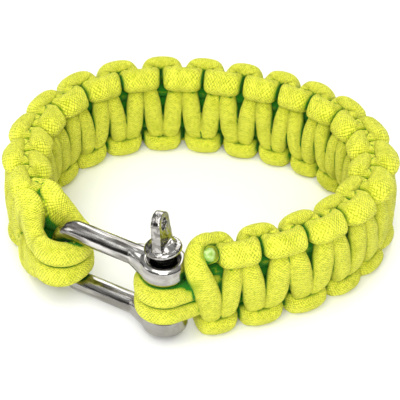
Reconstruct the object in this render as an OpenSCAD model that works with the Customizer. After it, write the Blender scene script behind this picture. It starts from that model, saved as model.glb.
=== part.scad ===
// Paracord bracelet in the cobra weave, closed by a small steel D-shackle. Millimetres, +Z up.
// It lies on its side: the band stands on its lower edge and the shackle's legs run along X.
// The origin is the middle of the footprint, on the surface it lies on.

/* [Bracelet loop] */
// Mean radius of the band's middle line, round the wrist hollow
loop_radius = 38.1; // [36:0.1:40]
// How much longer than round the loop is, each way from the mean
loop_oval = 3.2; // [0:0.1:4]
// Direction of the loop's long axis, from the shackle's axis
oval_turn = 28.8; // [20:0.1:40]
// Height of the three-sided ripple that a hand-bent loop shows
loop_lobe = 1.4; // [0:0.1:1.6]
// Direction of one lobe of that ripple
lobe_turn = 35; // [25:1:45]

/* [Cobra weave] */
// Half-knots tied along the band
half_knots = 39; // [37:1:41]
// Width of the band across its two edges
band_width = 23.6; // [23:0.1:24.2]
// Thickness of the band, outer face to inner face
band_thickness = 11.2; // [10.8:0.1:11.4]
// How far the knots near the pin lie ahead of even spacing, as hand-tied knots do
drift_near = 2.0; // [0:0.1:2.2]
// How far the knots on the side across from the shackle lie behind it
drift_far = 2.9; // [0:0.1:3]
// Points round the band's section
section_points = 24; // [16:4:24]
// Sections along each half-knot
knot_sections = 5; // [4:1:5]

/* [Core and end loops] */
// Width of the flat row of four core strands inside the knots
core_width = 12.4; // [11.6:0.2:12.8]
// Thickness of that row
core_thickness = 4.6; // [4.4:0.1:4.8]
// Thickness of the cord in an end loop
cord = 4.0; // [3.6:0.1:4.2]
// Height of one turn of the cord in an end loop
cord_height = 4.9; // [4.4:0.1:4.9]
// The same beside the crown, where the cord spreads out flat on its way to the band
cord_spread = 6.1; // [4.9:0.1:6.2]
// Height of a loop's leg where it fans out into the last knot at the crown
crown_fan = 9.5; // [6.1:0.1:10]
// From the middle line to the middle of such a leg
crown_part = 3.4; // [2.6:0.1:3.6]
// From the pin's axis to the first knot
pin_lead = 6.5; // [6.2:0.1:7.5]
// From the crown's axis to the last knot
crown_lead = 10.5; // [9.5:0.5:11.5]
// Gap between the pin and the cord loops round it
pin_clearance = 0.4; // [0.35:0.05:0.6]

/* [Shackle bow] */
// Diameter of the bow's round steel
wire = 5.0; // [4.6:0.1:5.2]
// Clear gap between the two legs
leg_gap = 10.0; // [9.9:0.1:10.6]
// From the middle of the crown to the pin's axis
bow_length = 27.8; // [26:0.2:29]
// Radius of the two bends at the crown, to the middle of the steel
bend_radius = 5.2; // [4.8:0.1:5.6]
// Outside diameter of each eye
eye_diameter = 10.8; // [10.2:0.1:11.2]
// Rounding of an eye's rims
eye_round = 1.2; // [0.6:0.1:1.4]

/* [Screw pin] */
// Diameter of the pin's shank
pin_diameter = 5.0; // [4.8:0.1:5.2]
// Free space all round the shank in the eyes
pin_fit = 0.3; // [0.3:0.05:0.4]
// How far the collar stands off the upper eye, as the pin isn't screwed home
pin_open = 2.1; // [0.5:0.1:3]
// Diameter of the collar
collar_diameter = 8.7; // [8:0.1:9.2]
// Thickness of the collar's rim
collar_height = 1.4; // [1.2:0.1:1.8]
// Width of the flat finger tab at its foot, on the collar
tab_width = 6.8; // [6:0.1:7.2]
// Width of the tab's round top
tab_top = 5.6; // [5:0.1:6]
// Thickness of the tab
tab_thickness = 2.2; // [1.6:0.1:3]
// Height of the round top's middle above the collar
tab_rise = 6.0; // [4:0.1:6.2]
// Diameter of the hole through the tab
tab_hole = 2.8; // [2.4:0.1:3.2]
// Direction of the tab's hole, from the shackle's axis
tab_turn = 9; // [0:1:90]
// How far the collar and the tab lean toward the crown
head_lean = 6.5; // [0:0.5:7]

/* [Hidden] */

SMOOTH = 64;
CORD_GREEN = "#dff03c";
SHADE_GREEN = "#b4cc1e";
STEEL = "#85807a";
MELTED = "#b9c67e";

leg_z = (leg_gap + wire) / 2;
pin_x = 12.5;
crown_x = pin_x - bow_length;
// Middle of the bracelet loop, seen from the middle of the shackle
loop_x = -1.4;
loop_y = 35.3;

// The loop's middle line: an oval with a ripple, led through the pin's axis and the crown's axis.
pin_at = [pin_x - loop_x, -loop_y];
crown_at = [crown_x - loop_x, -loop_y];
pin_angle = atan2(pin_at.y, pin_at.x);
crown_angle = 360 + atan2(crown_at.y, crown_at.x);
PIN_LEAD_IN = 26;
CROWN_LEAD_IN = 45;
function oval(a) = loop_radius + loop_oval * cos(2 * (a - oval_turn))
    + loop_lobe * cos(3 * (a - lobe_turn));
function ease(t) = t >= 1 ? 0 : (1 - t) * (1 - t) * (1 + 2 * t);
function reach(a) = oval(a)
    + (norm(pin_at) - oval(pin_angle)) * ease((a - pin_angle) / PIN_LEAD_IN)
    + (norm(crown_at) - oval(crown_angle)) * ease((crown_angle - a) / CROWN_LEAD_IN);
function loop_point(a) = [loop_x + reach(a) * cos(a), loop_y + reach(a) * sin(a)];

// Arc length along that line, kept as pairs of length and angle.
ANGLE_STEPS = 240;
function angle_of(k) = pin_angle + (crown_angle - pin_angle) * k / ANGLE_STEPS;
step_lengths = [for (k = [1:ANGLE_STEPS])
    norm(loop_point(angle_of(k)) - loop_point(angle_of(k - 1)))];
lengths = [for (k = 0, s = 0; k <= ANGLE_STEPS;
    s = s + (k < ANGLE_STEPS ? step_lengths[k] : 0), k = k + 1) s];
length_to_angle = [for (k = [0:ANGLE_STEPS]) [lengths[k], angle_of(k)]];
band_length = lengths[ANGLE_STEPS];
function point_at(s) = loop_point(lookup(s, length_to_angle));
function heading_at(s) = let (d = point_at(s + 0.5) - point_at(s - 0.5)) atan2(d.y, d.x);

knots_end = band_length - crown_lead;
pitch = (knots_end - pin_lead) / half_knots;

// The two working strands lie round the core as bars across the faces and blocks along the
// edges. The outer strand has its bars on the outer face and its blocks on the inner face, and
// the inner strand the other way round. The band's skin is the farthest of these shapes along
// rays from its middle line, with face 1 for the outer strand and -1 for the inner one.
function bar_at(i) = pin_lead + (i - 0.5) * pitch;
// Edge on which the strand goes from bar i to the next one: 1 upper, -1 lower
function edge(i, face) = (i % 2 == 1 ? 1 : -1) * face;
half_width = band_width / 2;
half_thick = band_thickness / 2;
// A bar's slant: how far its ends lie from its middle along the band, in pitches
bar_slant = 0.25;

// A bar's top over the core, by its distance from the middle line
bar_top = [[0, 1.00], [0.45, 0.98], [0.62, 0.86], [0.78, 0.55], [0.92, 0.1], [1.2, 0]];
// Half of a bar's width in pitches, by the same distance
bar_half = [[0, 0.50], [0.25, 0.46], [0.5, 0.37], [0.8, 0.30], [1.2, 0.26]];
// Height of bar i at a point s along and w across, as a part of half the thickness
function bar_height(i, face, s, w) =
    let (far = abs(w) / half_width, half = lookup(far, bar_half) * pitch,
         middle = bar_at(i) - bar_slant * pitch * edge(i, face) * w / (0.78 * half_width),
         q = (s - middle) / half)
    abs(q) >= 1 || i < 1 || i > half_knots ? 0
        : lookup(far, bar_top) * (0.36 + 0.64 * sqrt(1 - q * q));

// A block's section is an oval that leans over the band's corner. Where, how big and how far
// it leans, against its distance from the block's middle in pitches.
BLOCK_REACH = 0.88;
block_across = [[0, 0.79], [0.6, 0.785], [0.88, 0.76]];
block_out = [[0, 0.575], [0.5, 0.54], [0.75, 0.40], [0.88, 0.2]];
block_long = [[0, 0.50], [0.45, 0.50], [0.7, 0.46], [0.88, 0.34]];
block_short = [[0, 0.41], [0.45, 0.40], [0.7, 0.34], [0.82, 0.24], [0.88, 0.1]];
block_lean = 53;
// Where a ray from the middle line leaves the block after bar i of this strand, or 0
function block_exit(i, face, s, ray) =
    let (q = abs(s - bar_at(i + 0.5)) / pitch, e = edge(i, face))
    q >= BLOCK_REACH || i < 1 || i >= half_knots ? 0 :
    oval_exit(ray, [e * lookup(q, block_across) * half_width, -face * lookup(q, block_out) * half_thick],
              [e * sin(block_lean), face * cos(block_lean)],
              lookup(q, block_long) * half_thick, lookup(q, block_short) * half_thick);
// Where a ray from the origin leaves an oval with this middle, long direction and half sizes
function oval_exit(ray, middle, dir, long, short) =
    let (side = [-dir.y, dir.x],
         a = [ray * dir / long, ray * side / short], b = [middle * dir / long, middle * side / short],
         aa = a * a, ab = a * b, d = ab * ab - aa * (b * b - 1))
    d <= 0 ? 0 : (ab + sqrt(d)) / aa;

// The legs that pass the edges, at a quarter pitch on each side of every bar
leg_depth = 0.045;
function edge_exit(s, ray) =
    let (w = (0.95 - leg_depth * (1 + cos(720 * (s - pin_lead) / pitch)) / 2) * half_width,
         n = 0.6 * half_thick)
    1 / pow(pow(abs(ray.x) / w, 3) + pow(abs(ray.y) / n, 3), 1 / 3);
// The cut end of a strand stands up in the band's corner beside its first bar, on the face away
// from its bars.
stub_along = 0.12; // in pitches, from the first bar
function stub_spot(face, rise) =
    [edge(0, face) * (0.80 * half_width + rise), -face * (0.11 * half_thick + rise)];
function stub_exit(face, s, ray) =
    let (q = (s - bar_at(1) - stub_along * pitch) / (0.40 * pitch))
    abs(q) >= 1 ? 0 : oval_exit(ray, stub_spot(face, 0), [edge(0, face), -face] / sqrt(2),
                                0.31 * half_thick, 0.40 * half_thick * sqrt(1 - q * q));
// The core row shows in the holes between the bars.
function core_exit(ray) =
    1 / pow(pow(abs(ray.x) / (core_width / 2), 4) + pow(abs(ray.y) / (core_thickness / 2), 4), 1 / 4);

// Section points run once round the band from the upper edge over the outer face.
function ray_at(j) = let (a = 360 * j / section_points)
    [half_width * cos(a), half_thick * sin(a)];
// The knots round off at both ends of the row.
function end_round(s) = let (d = min(s - pin_lead, knots_end - s) / (0.5 * pitch))
    d >= 1 ? 1 : d <= 0 ? 0 : sqrt(1 - (1 - d) * (1 - d));
function skin(s, j) =
    let (ray = ray_at(j), i = floor((s - pin_lead) / pitch) + 1, face = ray.y >= 0 ? 1 : -1,
         bars = max([for (k = [i - 1:i + 1]) bar_height(k, face, s, ray.x)]) * half_thick,
         over = abs(ray.y) < 0.01 ? 0 : bars / abs(ray.y),
         blocks = max([for (k = [i - 2:i + 1], f = [-1, 1]) block_exit(k, f, s, ray)]),
         stubs = max([for (f = [-1, 1]) stub_exit(f, s, ray)]),
         knots = max(over, blocks, stubs, edge_exit(s, ray)), core = core_exit(ray))
    max(core, end_round(s) * knots) * ray;

// Where an evenly spaced point of the weave really lies along the middle line
function swell(k, at, width) = exp(-pow((k - at) / width, 2));
function drifted(s) = let (k = (s - pin_lead) / pitch)
    s + drift_near * swell(k, 6, 3) - drift_far * swell(k, 22.5, 5.8);
// Bends band space to the loop: s along the middle line, w across it upward, n outward. Height
// is counted from the band's middle line until everything is put on its origin.
function bend(p) = let (s = drifted(p[0]), c = point_at(s), h = heading_at(s))
    [c.x + p[2] * sin(h), c.y - p[2] * cos(h), p[1]];
function section_at(k) = pin_lead + (knots_end - pin_lead) * k / (half_knots * knot_sections);
skin_points = [for (k = [0:half_knots * knot_sections], j = [0:section_points - 1])
    let (s = section_at(k), p = skin(s, j)) bend([s, p.x, p.y])];

// Puts the middle of the footprint on the origin.
all_x = [for (p = skin_points) p.x];
all_y = [for (p = skin_points) p.y];
all_z = [for (p = skin_points) p.z];
shackle_front = -max(eye_diameter / 2, pin_diameter / 2 + pin_clearance + cord);
shift = [-(min(all_x) + max(all_x)) / 2, -(min(min(all_y), shackle_front) + max(all_y)) / 2,
         -min(all_z)];

// A closed tube over rings of points that follow one another.
module tube(points, sides) {
    rings = len(points) / sides;
    polyhedron(points = points, faces = concat(
        [[for (j = [0:sides - 1]) j]],
        [for (k = [0:rings - 2], j = [0:sides - 1]) let (a = k * sides, n = (j + 1) % sides)
            each [[a + j, a + sides + j, a + sides + n], [a + j, a + sides + n, a + n]]],
        [[for (j = [sides - 1:-1:0]) (rings - 1) * sides + j]]), convexity = 10);
}

module woven_band() {
    color(CORD_GREEN) translate(shift) tube(skin_points, section_points);
}

// One turn of cord round an upright bar at centre, as rings of points. Its two legs close in
// to the band's end at s, where way is 1 if the band runs on from there and -1 if it ends
// there. The first and last ring lie on the band's end plane, part from the middle line and
// fan high. The turn lies above the middle with side_up 1 and below it with -1. It is spread
// high, but for the place between the bow's legs.
LOOP_SIDES = 12;
ARC_STEPS = 12;
core_pair = 2.6; // from the middle line to the middle of a leg, at the band's end
function turn_points(centre, eye, s, way, side_up, spread, fan, part) =
    let (away = point_at(s) - centre, run = norm(away), aim = atan2(away.y, away.x),
         radius = eye + cord / 2, lean = asin((radius - part) / run),
         end = heading_at(s) + (way > 0 ? 180 : 0) - aim,
         leg = part * [sin(end), -cos(end)],
         route = concat([[run + leg.x, leg.y, end, fan]],
             [for (k = [0:ARC_STEPS]) let (a = 90 - lean + (180 + 2 * lean) * k / ARC_STEPS,
                                          off = (a + aim + 540) % 360 - 180)
                 [radius * cos(a), radius * sin(a), a + 90,
                  cord_height + (spread - cord_height) * (1 - exp(-pow(off / 45, 2)))]],
             [[run - leg.x, -leg.y, end + 180, fan]]),
         grow = 1 / cos(180 / LOOP_SIDES))
    [for (p = route, j = [0:LOOP_SIDES - 1])
        let (t = -360 * (j + 0.5) / LOOP_SIDES, side = grow * cord / 2 * cos(t),
             up = p[3] / 2 * min(1, max(-1, grow * sin(t))) + side_up * (p[3] / 2 + 0.02),
             x = p[0] + side * sin(p[2]), y = p[1] - side * cos(p[2]))
        [centre.x + x * cos(aim) - y * sin(aim), centre.y + x * sin(aim) + y * cos(aim), up]];

module pin_turn(side_up) {
    color(SHADE_GREEN) translate(shift) tube(turn_points([pin_x, 0],
        pin_diameter / 2 + pin_clearance, pin_lead, 1, side_up, cord_height, cord_height, core_pair), LOOP_SIDES);
}

module crown_turn(side_up) {
    color(SHADE_GREEN) translate(shift) tube(turn_points([crown_x + 0.5, 0],
        wire / 2 + 0.3, knots_end, -1, side_up, cord_spread, crown_fan, crown_part), LOOP_SIDES);
}

module pin_loop_upper() { pin_turn(1); }
module pin_loop_lower() { pin_turn(-1); }
module crown_loop_upper() { crown_turn(1); }
module crown_loop_lower() { crown_turn(-1); }

// The melted bead that closes a strand's cut end.
module melted_end(face) {
    corner = stub_spot(face, 0.225 * half_thick);
    spot = [bar_at(1) + stub_along * pitch, corner.x, corner.y];
    bead = 1.6;
    height = 0.9;
    ball = (bead * bead + height * height) / (2 * height);
    color(MELTED) translate(shift + bend(spot)) rotate([0, 0, heading_at(spot[0])])
        rotate([-45 - face * 90, 0, 0]) intersection() {
            translate([0, 0, height - ball]) sphere(r = ball, $fn = SMOOTH);
            translate([-2, -2, 0]) cube([4, 4, 2]);
        }
}

module melted_end_outer() { melted_end(-1); }
module melted_end_inner() { melted_end(1); }

// One eye of the bow with its flare, on the pin's axis at the origin
module eye_blank() {
    rotate_extrude($fn = SMOOTH) polygon(concat(
        [[0, 0]],
        [for (a = [-90:30:0]) [eye_diameter / 2 - eye_round + eye_round * cos(a), eye_round + eye_round * sin(a)]],
        [for (a = [0:30:90]) [eye_diameter / 2 - eye_round + eye_round * cos(a), wire - eye_round + eye_round * sin(a)]],
        [[0, wire]]));
    intersection() {
        translate([-8.6, 0, wire / 2]) rotate([0, 90, 0])
            cylinder(r1 = wire / 2 - 0.2, r2 = eye_diameter / 2 - 0.3, h = 7, $fn = SMOOTH);
        translate([-9, -8, 0.35]) cube([9, 16, wire - 0.7]);
    }
}

module bow_half() {
    straight = leg_z - bend_radius;
    translate([crown_x + bend_radius, 0, straight]) rotate([90, 0, 0]) rotate([0, 0, 90])
        rotate_extrude(angle = 90, $fn = SMOOTH) translate([bend_radius, 0])
            circle(d = wire, $fn = SMOOTH);
    translate([crown_x + bend_radius, 0, leg_z]) rotate([0, 90, 0])
        cylinder(d = wire, h = bow_length - bend_radius - 4.6, $fn = SMOOTH);
    translate([pin_x, 0, leg_z - wire / 2]) eye_blank();
}

module shackle_bow() {
    color(STEEL) translate(shift) difference() {
        union() {
            translate([crown_x, 0, bend_radius - leg_z])
                cylinder(d = wire, h = 2 * (leg_z - bend_radius), $fn = SMOOTH);
            bow_half();
            mirror([0, 0, 1]) bow_half();
        }
        translate([pin_x, 0, -20]) cylinder(d = pin_diameter + 2 * pin_fit, h = 40, $fn = SMOOTH);
        translate([pin_x, 0, leg_z + wire / 2 - 1])
            cylinder(d1 = pin_diameter + 2 * pin_fit, d2 = 7.9, h = 1.02, $fn = SMOOTH);
    }
}

// Collar and finger tab, standing on the origin
module pin_head() {
    dome = 0.9;
    difference() {
        union() {
            rotate_extrude($fn = SMOOTH) {
                square([collar_diameter / 2 - collar_height / 2, collar_height]);
                translate([collar_diameter / 2 - collar_height / 2, collar_height / 2])
                    circle(d = collar_height, $fn = SMOOTH);
            }
            translate([0, 0, collar_height - 0.1])
                cylinder(d1 = collar_diameter - 1.6, d2 = 4.4, h = dome + 0.1, $fn = SMOOTH);
            rotate([0, 0, tab_turn]) hull() {
                translate([0, 0, collar_height + tab_rise]) rotate([0, 90, 0])
                    cylinder(d = tab_top, h = tab_thickness, center = true, $fn = SMOOTH);
                translate([-tab_thickness / 2, -tab_width / 2, collar_height - 0.2])
                    cube([tab_thickness, tab_width, 0.6]);
            }
        }
        rotate([0, 0, tab_turn]) translate([0, 0, collar_height + tab_rise])
            rotate([0, 90, 0]) cylinder(d = tab_hole, h = 8, center = true, $fn = SMOOTH);
    }
}

module shackle_pin() {
    collar_z = leg_z + wire / 2 + pin_open;
    shank_end = -(leg_z + wire / 2) + pin_open - 1;
    color(STEEL) translate(shift + [pin_x, 0, 0]) {
        translate([0, 0, shank_end + 0.6])
            cylinder(d = pin_diameter, h = collar_z - shank_end, $fn = SMOOTH);
        translate([0, 0, shank_end])
            cylinder(d1 = pin_diameter - 1.2, d2 = pin_diameter, h = 0.6, $fn = SMOOTH);
        translate([0, 0, collar_z]) rotate([0, -head_lean, 0]) pin_head();
    }
}

shackle_bow();
shackle_pin();
woven_band();
pin_loop_upper();
pin_loop_lower();
crown_loop_upper();
crown_loop_lower();
melted_end_outer();
melted_end_inner();
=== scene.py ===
"""The paracord bracelet's looks: braided cord tied in square knots, and a small steel D-shackle."""
import math
import random

import bmesh
import bpy
import numpy as np
from mathutils import Matrix, Vector
from mathutils.bvhtree import BVHTree


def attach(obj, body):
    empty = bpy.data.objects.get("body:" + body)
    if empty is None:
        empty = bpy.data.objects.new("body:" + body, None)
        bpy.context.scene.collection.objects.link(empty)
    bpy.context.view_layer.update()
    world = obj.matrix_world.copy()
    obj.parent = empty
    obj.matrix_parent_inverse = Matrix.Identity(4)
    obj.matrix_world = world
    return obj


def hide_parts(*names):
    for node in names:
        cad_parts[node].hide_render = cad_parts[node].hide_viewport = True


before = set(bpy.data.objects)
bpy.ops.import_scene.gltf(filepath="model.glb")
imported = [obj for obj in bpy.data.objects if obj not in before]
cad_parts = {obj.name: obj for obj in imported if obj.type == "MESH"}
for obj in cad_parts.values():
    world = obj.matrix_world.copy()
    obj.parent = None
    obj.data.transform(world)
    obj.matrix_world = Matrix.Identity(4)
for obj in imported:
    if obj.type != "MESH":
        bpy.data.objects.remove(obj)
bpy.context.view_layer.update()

# ---------------------------------------------------------------- camera
# A long lens at the photo's viewpoint: low over the shackle, from its right. It looks at the
# middle of the loop.
camera = bpy.data.objects.new("camera", bpy.data.cameras.new("camera"))
bpy.context.scene.collection.objects.link(camera)
bpy.context.scene.camera = camera
camera.location = (0.186487, -0.301278, 0.290279)
aim = Vector((0.003398, -0.002504, 0.011895))
camera.rotation_euler = (aim - camera.location).to_track_quat("-Z", "Y").to_euler()
camera.data.sensor_width = 36
camera.data.lens = 167.96
camera.data.clip_start, camera.data.clip_end = 0.01, 10

# ---------------------------------------------------------------- the two working cords
# Two braided nylon cords, tied round the core in a row of square knots. Each one crosses one
# face as bars and runs along the edges as blocks on the other face. Lengths are millimetres.
LOOP_RADIUS, LOOP_OVAL, OVAL_TURN, LOOP_LOBE, LOBE_TURN = 38.1, 3.2, 28.8, 1.4, 35
LOOP_MIDDLE = (-1.4, 35.3)
PIN_X, CROWN_X = 12.5, -15.3
PIN_EASE, CROWN_EASE = 26, 45  # degrees of the loop in which it is led to the pin and the crown
HALF_KNOTS = 39
PIN_LEAD, CROWN_LEAD = 6.5, 10.5
DRIFT_NEAR, DRIFT_FAR = 2.0, 2.9
SHIFT = np.array([1.28794, -34.9642, 11.8953])

pin_at = np.array([PIN_X - LOOP_MIDDLE[0], -LOOP_MIDDLE[1]])
crown_at = np.array([CROWN_X - LOOP_MIDDLE[0], -LOOP_MIDDLE[1]])
pin_angle = math.degrees(math.atan2(pin_at[1], pin_at[0]))
crown_angle = 360 + math.degrees(math.atan2(crown_at[1], crown_at[0]))


def oval(a):
    """Distance from the loop's middle to the free loop's line, in direction a."""
    return (LOOP_RADIUS + LOOP_OVAL * np.cos(np.radians(2 * (a - OVAL_TURN)))
            + LOOP_LOBE * np.cos(np.radians(3 * (a - LOBE_TURN))))


def loop_point(a):
    """Point of the band's middle line in direction a, led through the pin and the crown."""
    def ease(t):
        return np.where(t >= 1, 0, (1 - t) ** 2 * (1 + 2 * t))
    reach = (oval(a)
             + (np.hypot(*pin_at) - oval(pin_angle)) * ease((a - pin_angle) / PIN_EASE)
             + (np.hypot(*crown_at) - oval(crown_angle)) * ease((crown_angle - a) / CROWN_EASE))
    return np.stack([LOOP_MIDDLE[0] + reach * np.cos(np.radians(a)),
                     LOOP_MIDDLE[1] + reach * np.sin(np.radians(a))], -1)


line_angles = np.linspace(pin_angle, crown_angle, 241)
line_steps = np.hypot(*np.diff(loop_point(line_angles), axis=0).T)
line_lengths = np.concatenate([[0], np.cumsum(line_steps)])
knots_end = line_lengths[-1] - CROWN_LEAD
pitch = (knots_end - PIN_LEAD) / HALF_KNOTS


def along_line(s):
    """Point and heading of the middle line at length s."""
    at = [loop_point(np.interp(s + d, line_lengths, line_angles)) for d in (0, -0.5, 0.5)]
    ahead = at[2] - at[1]
    return at[0], np.arctan2(ahead[..., 1], ahead[..., 0])


def bend(rows):
    """Band space (along, across upward, out from the wrist) to metres in the row frame.

    The knots don't lie quite evenly: some sit further toward the crown and some further back,
    and they stand a little fuller outward near the pin and near the crown.
    """
    s, w, n = np.moveaxis(np.asarray(rows, float), -1, 0)
    k = (s - PIN_LEAD) / pitch

    def hump(knot, width):
        return np.exp(-(((k - knot) / width) ** 2))

    s = s + DRIFT_NEAR * hump(6, 3) - DRIFT_FAR * hump(22.5, 5.8)
    n = np.where(n > 0, n * (1 + 0.1 * hump(30, 5.5) + 0.1 * hump(11, 4)), n)
    middle, heading = along_line(s)
    xyz = np.stack([middle[..., 0] + n * np.sin(heading),
                    middle[..., 1] - n * np.cos(heading), w], -1)
    return (xyz + SHIFT) / 1000


def smooth_rows(rows, steps):
    """A curve through the rows, with steps between each two. All columns follow it."""
    rows = np.asarray(rows, float)
    ends = np.concatenate([[2 * rows[0] - rows[1]], rows, [2 * rows[-1] - rows[-2]]])
    t = (np.arange(steps) / steps)[:, None]
    parts = []
    for a, b, c, d in zip(ends, ends[1:], ends[2:], ends[3:]):
        parts.append(b + t / 2 * (c - a) + t ** 2 * (a - 2.5 * b + 2 * c - d / 2)
                     + t ** 3 * (1.5 * (b - c) + (d - a) / 2))
    return np.concatenate(parts + [rows[-1:]])


BRAID_TURN = 11.0  # millimetres of cord in which a yarn goes once round


def section_rings(line, thick_way, wide, thick, sides, fullness=2.4):
    """Rings round a line: wide by thick ovals whose thickness points along thick_way."""
    ahead = np.gradient(line, axis=0)
    ahead /= np.linalg.norm(ahead, axis=1)[:, None]
    up = thick_way - (thick_way * ahead).sum(1)[:, None] * ahead
    up /= np.linalg.norm(up, axis=1)[:, None]
    side = np.cross(ahead, up)
    t = 2 * math.pi * np.arange(sides) / sides
    a = np.sign(np.cos(t)) * np.abs(np.cos(t)) ** (2 / fullness)
    b = np.sign(np.sin(t)) * np.abs(np.sin(t)) ** (2 / fullness)
    return (line[:, None] + side[:, None] * (wide[:, None] / 2 * a)[..., None]
            + up[:, None] * (thick[:, None] / 2 * b)[..., None])


def cord_mesh(name, cords):
    """One mesh of braided cords, each given by its rings in metres."""
    bm = bmesh.new()
    braid = bm.loops.layers.uv.new("braid")
    for rings in cords:
        last, sides = len(rings) - 1, rings.shape[1]
        steps = np.linalg.norm(np.diff(rings.mean(1), axis=0), axis=1)
        run = np.concatenate([[0], np.cumsum(steps)])
        sheet = bmesh.ops.create_grid(bm, x_segments=sides, y_segments=last, size=1)["verts"]
        where = {v: (round((v.co.y + 1) / 2 * last), round((v.co.x + 1) / 2 * sides))
                 for v in sheet}
        for f in {f for v in sheet for f in v.link_faces}:
            f.smooth = True
            for corner in f.loops:
                k, j = where[corner.vert]
                corner[braid].uv = (j / sides, run[k] * 1000 / BRAID_TURN)
        for v, (k, j) in where.items():
            v.co = rings[k, j % sides]
    bmesh.ops.remove_doubles(bm, verts=bm.verts, dist=1e-7)
    bmesh.ops.holes_fill(bm, edges=bm.edges, sides=0)
    bmesh.ops.recalc_face_normals(bm, faces=bm.faces)
    return placed_piece(name, bm)


def placed_piece(name, bm):
    """The finished mesh as an object, with its place in its mesh."""
    mesh = bpy.data.meshes.new(name)
    bm.to_mesh(mesh)
    bm.free()
    piece = bpy.data.objects.new(name, mesh)
    bpy.context.scene.collection.objects.link(piece)
    return piece


class Value:
    """A socket of a node tree. Sums and products of it add their own Math nodes."""

    def __init__(self, tree, socket=None):
        self.tree, self.socket = tree, socket

    def node(self, kind, settings=None, sockets=None, out=0):
        """Adds a node of this kind, sets it up, then gives its sockets values or links."""
        made = self.tree.nodes.new(kind)
        for name, value in (settings or {}).items():
            if name == "stops":
                while len(made.color_ramp.elements) < len(value):
                    made.color_ramp.elements.new(0.5)
                for stop, (at, colour) in zip(made.color_ramp.elements, value):
                    stop.position, stop.color = at, colour
            else:
                setattr(made, name, value)
        for name, value in (sockets or {}).items():
            if isinstance(value, Value):
                self.tree.links.new(value.socket, made.inputs[name])
            else:
                made.inputs[name].default_value = value
        return Value(self.tree, made.outputs[out])

    def math(self, operation, *others):
        values = dict(enumerate((self,) + others))
        return self.node("ShaderNodeMath", {"operation": operation}, values)

    def __add__(self, other): return self.math("ADD", other)
    def __radd__(self, other): return self.math("ADD", other)
    def __sub__(self, other): return self.math("SUBTRACT", other)
    def __rsub__(self, other):
        return self.node("ShaderNodeMath", {"operation": "SUBTRACT"}, {0: other, 1: self})
    def __mul__(self, other): return self.math("MULTIPLY", other)
    def __rmul__(self, other): return self.math("MULTIPLY", other)
    def __truediv__(self, other): return self.math("DIVIDE", other)
    def __pow__(self, other): return self.math("POWER", other)
    def floor(self): return self.math("FLOOR")
    def fraction(self): return self.math("FRACT")

    def ramp(self, low, high):
        """0 below low, 1 above high, eased between."""
        return self.node("ShaderNodeMapRange", {"interpolation_type": "SMOOTHSTEP"},
                         {"Value": self, "From Min": low, "From Max": high})

    def mix(self, first, second):
        """The first colour where this value is 0 and the second where it is 1."""
        return self.node("ShaderNodeMix", {"data_type": "RGBA"},
                         {0: self, 6: first, 7: second}, out=2)

    def noise(self, scale, detail=3.0, stretch=(1, 1, 1), rough=0.5):
        """Noise that reads this vector, in turns per unit of it."""
        placed = self.node("ShaderNodeMapping", None, {"Vector": self, "Scale": stretch})
        return self.node("ShaderNodeTexNoise", None, {
            "Vector": placed, "Scale": scale, "Detail": detail, "Roughness": rough})


def finish(name, constants):
    """A new material and its tree's Value, with these fixed values on its shader."""
    material = bpy.data.materials.new(name)
    material.use_nodes = True
    shader = material.node_tree.nodes["Principled BSDF"]
    for socket, value in constants.items():
        shader.inputs[socket].default_value = value
    return material, Value(material.node_tree), shader


def feed(value, shader, socket):
    """Links a value to one of the shader's sockets."""
    value.tree.links.new(value.socket, shader.inputs[socket])


# The cord's nylon sheath: yarns plaited over and under, with painted shade: random olive patches
# for the shadows of folds, and olive to deep green where the cord dives under its neighbour.
SHEATH_YARNS = 20
nylon, tree, shader = finish("neon_nylon_braid", {
    "Roughness": 0.6, "Sheen Weight": 0.15, "Sheen Roughness": 0.4,
    "Sheen Tint": (1, 1, 0.5, 1), "Specular IOR Level": 0.2})
uv = tree.node("ShaderNodeUVMap", {"uv_map": "braid"})
round_way = tree.node("ShaderNodeSeparateXYZ", None, {"Vector": uv})
long_way = tree.node("ShaderNodeSeparateXYZ", None, {"Vector": uv}, out=1)
right = (round_way + long_way) * SHEATH_YARNS
left = (round_way - long_way) * SHEATH_YARNS
over = ((right.floor() + left.floor()) / 2).fraction() * 2
across_right = 1 - (right.fraction() * 2 - 1).math("ABSOLUTE") ** 2.0
across_left = 1 - (left.fraction() * 2 - 1).math("ABSOLUTE") ** 2.0
plait = (over * across_right * (0.45 + 0.55 * across_left)
         + (1 - over) * across_left * (0.45 + 0.55 * across_right))
stitch = tree.node("ShaderNodeCombineXYZ", None, {"X": right.floor(), "Y": left.floor()})
stitch = tree.node("ShaderNodeTexWhiteNoise", None, {"Vector": stitch})
spot = tree.node("ShaderNodeTexCoord", None, None, out=3)
worn = spot.noise(2400, 2)
fold_shade_patches = spot.noise(260, 2)
painted_shade_amount = tree.node("ShaderNodeAttribute", {"attribute_name": "tuck"}, None, out=2)
lit = (plait + worn * 1.9 + stitch * 0.5 - 1.0).mix((0.47, 0.57, 0.002, 1), (1, 1, 0.085, 1))
# Random dark olive patches: painted shade standing in for the shadows of folds.
lit = (fold_shade_patches.ramp(0.5, 0.75) * 0.4).mix(lit, (0.58, 0.64, 0.01, 1))
# Olive, then deep green, where the sky over the cord is covered: painted shade.
lit = painted_shade_amount.ramp(0.25, 0.58).mix(lit, (0.42, 0.58, 0.004, 1))
feed(painted_shade_amount.ramp(0.46, 0.66).mix(lit, (0.004, 0.27, 0.003, 1)), shader, "Base Color")
relief = plait + worn * 0.8 + stitch * 0.3
feed(tree.node("ShaderNodeBump", None, {
    "Strength": 1.0, "Distance": 0.0003, "Height": relief}), shader, "Normal")

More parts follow.
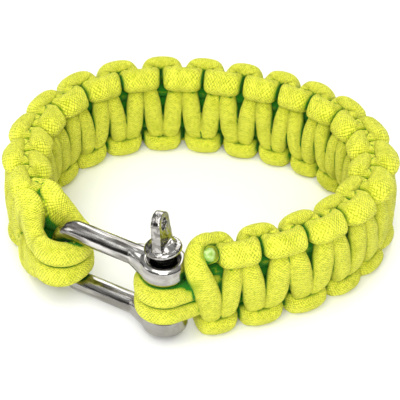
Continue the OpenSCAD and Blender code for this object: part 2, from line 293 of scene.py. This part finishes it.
# Half of a half-knot: from the middle of a bar, over the edge, to the middle of the next block.
# Along is toward the crown, across toward the edge and out toward the bar's own face.
half_knot = [
    # along, across, out, wide, thick, turn of the thick way from out toward across
    (0.00, 0.0, 3.90, 5.05, 3.5, 0),
    (-0.36, 3.0, 3.80, 4.90, 3.5, 4),
    (-0.72, 5.3, 3.20, 4.40, 3.4, 18),
    (-0.98, 7.2, 1.70, 3.75, 3.9, 50),
    (-0.85, 8.75, -0.10, 3.20, 5.2, 84),
    (-0.50, 9.3, -1.80, 3.40, 5.8, 62),
    (0.25, 9.8, -2.70, 3.90, 6.1, 54),
    (1.30, 10.0, -3.05, 3.90, 6.1, 52),
    (2.52, 10.05, -3.10, 3.90, 6.1, 52),
]
hand = random.Random(7)
SIDES = 16
LOWEST = -11.88  # the table, across the band: the cord lies flat on it
first_bar = PIN_LEAD + 0.5 * pitch
last_bar = knots_end - 0.5 * pitch


def placed_row(bar, way, edge, face, row, slack=0.0, full=1.0):
    """A row of the table at a bar: way 1 leaves it and -1 comes to it."""
    along, across, out, wide, thick, turn = row
    angle = math.radians(turn)
    return (bar + way * along + slack, edge * across, face * out, wide * full, thick * full,
            edge * math.sin(angle), face * math.cos(angle))


def knots(face, first):
    """Rows of a cord from bar first to the last bar, each knot drawn up a little unevenly."""
    rows = []
    for i in range(first, HALF_KNOTS):
        edge, bar = (1 if i % 2 else -1) * face, first_bar + (i - 1) * pitch
        slack, full = hand.uniform(-0.18, 0.18), hand.uniform(0.96, 1.04)
        rows += [placed_row(bar, 1, edge, face, row, slack, full) for row in half_knot]
        rows += [placed_row(bar + pitch, -1, edge, face, row, slack, full)
                 for row in half_knot[-2:0:-1]]
    edge = (1 if HALF_KNOTS % 2 else -1) * face
    return rows + [placed_row(last_bar, 1, edge, face, row) for row in half_knot[:5]]


def cut_end(face):
    """Rows from the melted end in the band's corner to the first bar's middle."""
    edge = -face
    return [placed_row(first_bar, 1, edge, face, row) for row in (
        (0.62, 10.75, -1.90, 4.1, 4.1, 45), (0.70, 9.90, -1.00, 3.9, 3.9, 45),
        (1.15, 8.60, 0.50, 3.0, 4.2, 62), (1.05, 7.30, 2.00, 3.5, 3.8, 48),
        (0.70, 5.40, 3.15, 4.7, 3.4, 20), (0.30, 3.00, 3.72, 5.1, 3.5, 4))]


# The outer cord's first bar slants back and turns over the upper edge in one wide bend.
wide_bend = [
    (-0.10, 0.0, 3.90, 5.5, 3.4, 0), (-0.95, 3.0, 3.85, 5.6, 3.4, 2),
    (-1.80, 5.8, 3.60, 5.4, 3.5, 12), (-2.55, 8.6, 2.80, 4.8, 4.0, 30),
    (-2.50, 10.5, 0.90, 4.2, 4.6, 45), (-1.30, 11.3, -1.10, 3.8, 5.2, 50),
    (0.40, 11.0, -2.30, 3.8, 5.8, 51), (1.50, 10.4, -2.90, 3.8, 6.1, 52),
    (2.52, 10.05, -3.10, 3.8, 6.1, 52)]


def tucked_end(face):
    """Rows that lead the cord back into the knots after the last bar."""
    return [placed_row(last_bar, 1, face, face, row) for row in (
        (-0.30, 8.6, -1.6, 3.2, 5.0, 70), (0.90, 6.4, -2.2, 3.6, 4.2, 60),
        (0.80, 3.0, -1.4, 3.2, 3.2, 40), (0.40, 0.8, -0.6, 3.0, 3.0, 20))]


def working_cord(name, rows):
    """A working cord through its rows, as a piece on the bracelet."""
    rows = smooth_rows(rows, 3)
    thick_way = np.zeros((len(rows), 3))
    thick_way[:, 1:] = rows[:, 5:7]
    rings = section_rings(rows[:, :3], thick_way, rows[:, 3], rows[:, 4], SIDES, 2.9)
    rings[..., 1] = np.maximum(rings[..., 1], LOWEST)
    piece = cord_mesh(name, [bend(rings)])
    piece.data.materials.append(nylon)
    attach(piece, "bracelet")
    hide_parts("woven_band")
    return piece


turn_back = [placed_row(first_bar + pitch, -1, 1, 1, row) for row in half_knot[-2:0:-1]]
wide_turn = [placed_row(first_bar, 1, 1, 1, row) for row in wide_bend]
outer_cord = working_cord("outer_working_cord",
                          cut_end(1) + wide_turn + turn_back + knots(1, 2) + tucked_end(1))
inner_cord = working_cord("inner_working_cord", cut_end(-1) + knots(-1, 1) + tucked_end(-1))

# ---------------------------------------------------------------- the core
# Four straight runs of the same nylon cord lie side by side inside the knots, which are drawn
# tight round them and hold them. They show only in the gaps between the bars.
CORE_WIDE, CORE_THICK = 3.2, 4.0
core_cords = []
s = np.linspace(PIN_LEAD - 0.6, knots_end + 0.6, 110)
for across in (-4.65, -1.55, 1.55, 4.65):
    line = np.stack([s, np.full_like(s, across), np.zeros_like(s)], -1)
    outward = np.tile([0.0, 0, 1], (len(s), 1))
    core_cords.append(bend(section_rings(line, outward, np.full_like(s, CORE_WIDE),
                                         np.full_like(s, CORE_THICK), 10)))
core = cord_mesh("core_cords", core_cords)
core.data.materials.append(nylon)
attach(core, "bracelet")
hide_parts("woven_band")

# ---------------------------------------------------------------- end loops
# The core's nylon cords turn back round the pin at one end and round the bow's crown at the
# other, two turns at each, one on the other. The knots hold their legs.
CORD = 4.0
HALF_SEAM = 0.02  # half the gap between the upper and the lower turn
FAN_ANGLE = 0.785  # radians from the band's side in which a turn grows to its full height


def end_loop(name, node, centre, eye, s_end, way, side_up, high, apart, legs):
    """One turn of cord round an upright bar, with its two legs led into the knots."""
    band_end, _ = along_line(np.array(s_end))
    away = band_end - np.array(centre)
    distance, toward = np.hypot(*away), math.atan2(away[1], away[0])
    radius = eye + CORD / 2
    lean = math.asin((radius - apart) / distance)

    def leg(side):
        """Rows of one leg, from inside the knots to the band's end."""
        rows = []
        for far, gap, wide, tall in legs:
            point, ahead = along_line(np.array(s_end + way * far))
            out = -apart * gap * side * way
            rows.append((point[0] + out * math.sin(ahead), point[1] - out * math.cos(ahead),
                         side_up * (tall / 2 + HALF_SEAM), wide, tall))
        return rows

    arc = []
    for k in range(13):
        a = math.pi / 2 - lean + (math.pi + 2 * lean) * k / 12
        off = math.remainder(a + toward, 2 * math.pi)
        tall = high[0] + (high[1] - high[0]) * (1 - math.exp(-((off / FAN_ANGLE) ** 2)))
        x, y = radius * math.cos(a), radius * math.sin(a)
        arc.append((centre[0] + x * math.cos(toward) - y * math.sin(toward),
                    centre[1] + x * math.sin(toward) + y * math.cos(toward),
                    side_up * (tall / 2 + HALF_SEAM), CORD, tall))
    rows = smooth_rows(leg(1) + arc + leg(-1)[::-1], 5)
    upright = np.tile([0.0, 0, 1], (len(rows), 1))
    rings = section_rings(rows[:, :3], upright, rows[:, 3], rows[:, 4], 20, 3.1)
    piece = cord_mesh(name, [(rings + SHIFT) / 1000])
    piece.data.materials.append(nylon)
    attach(piece, "bracelet")
    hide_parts(node)
    return piece


# How far into the knots, share of the way apart, width and height of a leg. At the crown the
# legs spread until they fill the band's width.
pin_legs = ((7.5, 0.3, 3.2, 4.0), (3.6, 0.6, 3.6, 4.5), (0, 1, 4.0, 4.9))
crown_legs = ((7.2, 0.5, 3.0, 5.0), (4.8, 0.7, 3.6, 7.6), (2.4, 0.9, 4.6, 10.4), (0, 1, 6.0, 11.4),
              (-2.4, 1.02, 6.1, 10.8), (-4.6, 1.35, 4.9, 9.2), (-6.8, 1.68, 4.1, 7.6))
cords = [outer_cord, inner_cord, core]
for side, up in (("upper", 1), ("lower", -1)):
    cords.append(end_loop("pin_end_loop_" + side, "pin_loop_" + side, (PIN_X, 0), 2.9,
                          PIN_LEAD, 1, up, (4.9, 4.9), 2.6, pin_legs))
    cords.append(end_loop("crown_end_loop_" + side, "crown_loop_" + side, (CROWN_X - 0.1, 0), 3.3,
                          knots_end, -1, up, (4.9, 6.2), 2.9, crown_legs))

# Painted shade: where cords lie close together the sheath is painted darker. Each point gets the
# share of the sky over it that its neighbours and the bow cover, within 4 mm and the nearer the
# more, and the core gets a little more. Three deep places get more painted shade: the eye of the
# crown loops, the gap behind the pin and the hollow round the melted end.
SKY_RAYS, SKY_REACH, SKY_FADE = 14, 0.004, 0.005
OFF_SKIN = 0.00008  # metres from the cord at which a ray starts, clear of the cord's own faces
GOLDEN_ANGLE = 2.39996
points, faces = [], []
for mesh in [cord.data for cord in cords] + [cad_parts["shackle_bow"].data]:
    faces += [[v + len(points) for v in f.vertices] for f in mesh.polygons]
    points += [v.co.copy() for v in mesh.vertices]
near = BVHTree.FromPolygons(points, faces)
pin_gap = Vector(bend((PIN_LEAD - 1, 5, 4)))
crown_eye = Vector((np.array((CROWN_X - 6.0, 3.0, 1.1)) + SHIFT) / 1000)
melted_spot = np.array([first_bar + 0.62, 10.85, 2.0])
cut = Vector(bend(melted_spot))
sky = []
for k in range(SKY_RAYS):
    up, turned = math.sqrt(1 - (k + 0.5) / SKY_RAYS), k * GOLDEN_ANGLE
    flat_part = math.sqrt(1 - up * up)
    sky.append(Vector((flat_part * math.cos(turned), flat_part * math.sin(turned), up)))
for cord in cords:
    painted_shade_amount = []
    for v in cord.data.vertices:
        stand = v.normal.to_track_quat("Z", "Y").to_matrix()
        start, covered = v.co + v.normal * OFF_SKIN, 0
        for ray in sky:
            hit = near.ray_cast(start, stand @ ray, SKY_REACH)[3]
            covered += 0 if hit is None else 1 - hit / SKY_FADE
        painted_shade_amount.append(covered / SKY_RAYS + (0.15 if cord is core else 0))
        if cord.name.startswith(("pin_end", "outer")):
            painted_shade_amount[-1] += 0.6 * max(0, 1 - (v.co - pin_gap).length / 0.0055)
        if cord.name.startswith("crown_end"):
            painted_shade_amount[-1] += max(0, 1 - (v.co - crown_eye).length / 0.0052)
        if (v.co - cut).length < 0.0026:
            painted_shade_amount[-1] = max(painted_shade_amount[-1], 0.45)
    cord.data.attributes.new("tuck", "FLOAT", "POINT").data.foreach_set("value", painted_shade_amount)

# ---------------------------------------------------------------- melted ends
# Each working cord is cut and melted with a flame, which leaves a hard glassy bead of nylon
# with a little soot in it.
melted, tree, shader = finish("melted_nylon", {
    "Roughness": 0.34, "Specular IOR Level": 0.5, "Subsurface Weight": 0.35,
    "Subsurface Radius": (0.4, 0.9, 0.2), "Subsurface Scale": 0.0008, "Coat Weight": 0.15})
spot = tree.node("ShaderNodeTexCoord", None, None, out=3)
soot = spot.noise(2600, 3).ramp(0.58, 0.72)
milky = spot.noise(1100, 2).ramp(0.35, 0.65)
glass = milky.mix((0.28, 0.48, 0.06, 1), (0.48, 0.64, 0.22, 1))
feed((soot * 0.55).mix(glass, (0.10, 0.16, 0.06, 1)), shader, "Base Color")
feed(tree.node("ShaderNodeBump", None, {
    "Strength": 0.6, "Distance": 0.0003, "Height": spot.noise(1500, 3)}), shader, "Normal")

for name, face in (("melted_end_outer", -1), ("melted_end_inner", 1)):
    bm = bmesh.new()
    bmesh.ops.create_icosphere(bm, subdivisions=4, radius=0.00155)
    for v in bm.verts:
        v.co *= 1 + 0.05 * math.sin(3 * math.atan2(v.co.y, v.co.x) + face)
        v.co.z *= 0.62
    at = melted_spot * (1, -face, -face)
    _, heading = along_line(np.array(at[0]))
    facing = -face * Vector((math.sin(heading), -math.cos(heading), 1)).normalized()
    turn = facing.to_track_quat("Z", "Y").to_matrix().to_4x4()
    bmesh.ops.transform(bm, matrix=Matrix.Translation(bend(at)) @ turn, verts=bm.verts)
    for v in bm.verts:
        v.co.z = max(v.co.z, 0.00002)
    for f in bm.faces:
        f.smooth = True
    bead = placed_piece(name + "_bead", bm)
    bead.data.materials.append(melted)
    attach(bead, "bracelet")
    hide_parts(name)

# ---------------------------------------------------------------- the shackle
# A small D-shackle of polished steel: a round bar bent into a bow with two pressed eyes, and a
# screw pin with a collar and a flat finger tab. Its corners are all a little worn.
steel, tree, shader = finish("polished_steel", {"Metallic": 1.0})
spot = tree.node("ShaderNodeTexCoord", None, None, out=3)
streaks = spot.noise(900, 3, (0.12, 1, 1))
patches = spot.noise(160, 3)
# The shank, near the pin's axis and below the collar, has the thread and is painted near black
# as shade. The bow's legs have streaks drawn along them in the bump, and painted dark and bright
# reflections along them in the colour. Heights are millimetres over the table.
from_pin = [tree.node("ShaderNodeSeparateXYZ", None, {"Vector": spot}, out=k) - at / 1000
            for k, at in ((0, PIN_X + SHIFT[0]), (1, SHIFT[1]))]
height = tree.node("ShaderNodeSeparateXYZ", None, {"Vector": spot}, out=2) * 1000
shank = ((1 - ((from_pin[0] * from_pin[0] + from_pin[1] * from_pin[1]) * 1e6).ramp(6.4, 7.2))
         * (1 - height.ramp(23.7, 24.1)))
thread = (height * 1.25).fraction()
on_legs = 1 - (from_pin[0] * 1000).ramp(-8, -6)
# Dark and bright streaks in the colour, strongest along the legs: painted reflections.
painted_reflection_streaks = 0.5 + (streaks.ramp(0.38, 0.62) - 0.5) * (0.25 + 0.75 * on_legs)
grey = painted_reflection_streaks.mix((0.17, 0.16, 0.145, 1), (0.70, 0.685, 0.65, 1))
grey = (patches.ramp(0.45, 0.75) * 0.5).mix(grey, (0.30, 0.28, 0.25, 1))
cast = spot.noise(620, 3).ramp(0.5, 0.6) * height.ramp(23.8, 24.4)
grey = (cast * 0.6).mix(grey, (0.10, 0.092, 0.075, 1))
# Low down, below 5 to 11 mm over the table, the colour is painted darker as shade.
grey = ((1 - height.ramp(5, 11)) * 0.6).mix(grey, (0.26, 0.25, 0.235, 1))
# The shank is painted near black as shade.
feed((shank * 0.7).mix(grey, (0.03, 0.028, 0.024, 1)), shader, "Base Color")
feed(0.09 + 0.14 * patches, shader, "Roughness")
relief = streaks * on_legs + patches * 0.6 + shank * thread * 2 + cast * 0.5
feed(tree.node("ShaderNodeBump", None, {
    "Strength": 0.35, "Distance": 0.0003, "Height": relief}), shader, "Normal")


def worn_copy(name, node, voxel, body):
    """The node's own shape with its edges worn round."""
    bm = bmesh.new()
    bm.from_mesh(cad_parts[node].data)
    bmesh.ops.remove_doubles(bm, verts=bm.verts, dist=1e-6)
    piece = placed_piece(name, bm)
    remesh = piece.modifiers.new("worn", "REMESH")
    remesh.mode, remesh.voxel_size = "VOXEL", voxel
    remesh.use_smooth_shade = True
    even = piece.modifiers.new("even", "SMOOTH")
    even.factor, even.iterations = 0.5, 6
    bpy.context.view_layer.update()
    finished = piece.evaluated_get(bpy.context.evaluated_depsgraph_get())
    done = bpy.data.meshes.new_from_object(finished)
    piece.modifiers.clear()
    piece.data = done
    done.materials.clear()
    done.materials.append(steel)
    for f in done.polygons:
        f.use_smooth = True
    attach(piece, body)
    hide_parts(node)


worn_copy("bow_steel", "shackle_bow", 0.00028, "bracelet")
worn_copy("screw_pin_steel", "shackle_pin", 0.00018, "screw_pin")

# ---------------------------------------------------------------- table and light
# A plain table with matt white paint under the bracelet, and four soft lamps round it, as in a
# small product studio.
bm = bmesh.new()
bmesh.ops.create_grid(bm, x_segments=1, y_segments=1, size=3)
table = placed_piece("table_top", bm)
table_paint, _, _ = finish("pale_table", {"Roughness": 0.85, "Base Color": (0.95, 0.95, 0.95, 1)})
table.data.materials.append(table_paint)


def soft_lamp(name, place, size, power):
    """A square lamp that faces the middle of the loop."""
    lamp = bpy.data.objects.new(name, bpy.data.lights.new(name, "AREA"))
    bpy.context.scene.collection.objects.link(lamp)
    lamp.data.size, lamp.data.energy = size, power
    lamp.location = place
    lamp.rotation_euler = (aim - Vector(place)).to_track_quat("-Z", "Y").to_euler()


soft_lamp("lamp_above", (0.0, -0.3, 0.9), 0.8, 5.2)
soft_lamp("lamp_front", (0.4, -0.7, 0.6), 0.6, 6.2)
soft_lamp("lamp_left", (-0.7, -0.5, 0.35), 0.4, 0.8)
soft_lamp("lamp_behind", (-0.25, 0.75, 0.55), 0.7, 3.6)

# The room is bright above and has a dark band low down, which gives the steel its dark streaks.
world = bpy.data.worlds.new("studio")
bpy.context.scene.world = world
world.use_nodes = True
room = world.node_tree.nodes["Background"]
tree = Value(world.node_tree)
toward_room = tree.node("ShaderNodeTexCoord")
height = tree.node("ShaderNodeSeparateXYZ", None, {"Vector": toward_room}, out=2)
band = height.node("ShaderNodeValToRGB", {"stops": [
    (0.0, (0.9, 0.9, 0.9, 1)), (0.08, (0.25, 0.25, 0.25, 1)), (0.35, (0.06, 0.06, 0.06, 1)),
    (0.5, (0.9, 0.9, 0.9, 1)), (1.0, (1, 1, 1, 1))]}, {"Fac": height})
seen = tree.node("ShaderNodeLightPath")
tree.tree.links.new(seen.mix(band, (0.93, 0.93, 0.93, 1)).socket, room.inputs["Color"])
room.inputs["Strength"].default_value = 0.55
bpy.context.scene.view_settings.view_transform = "Standard"
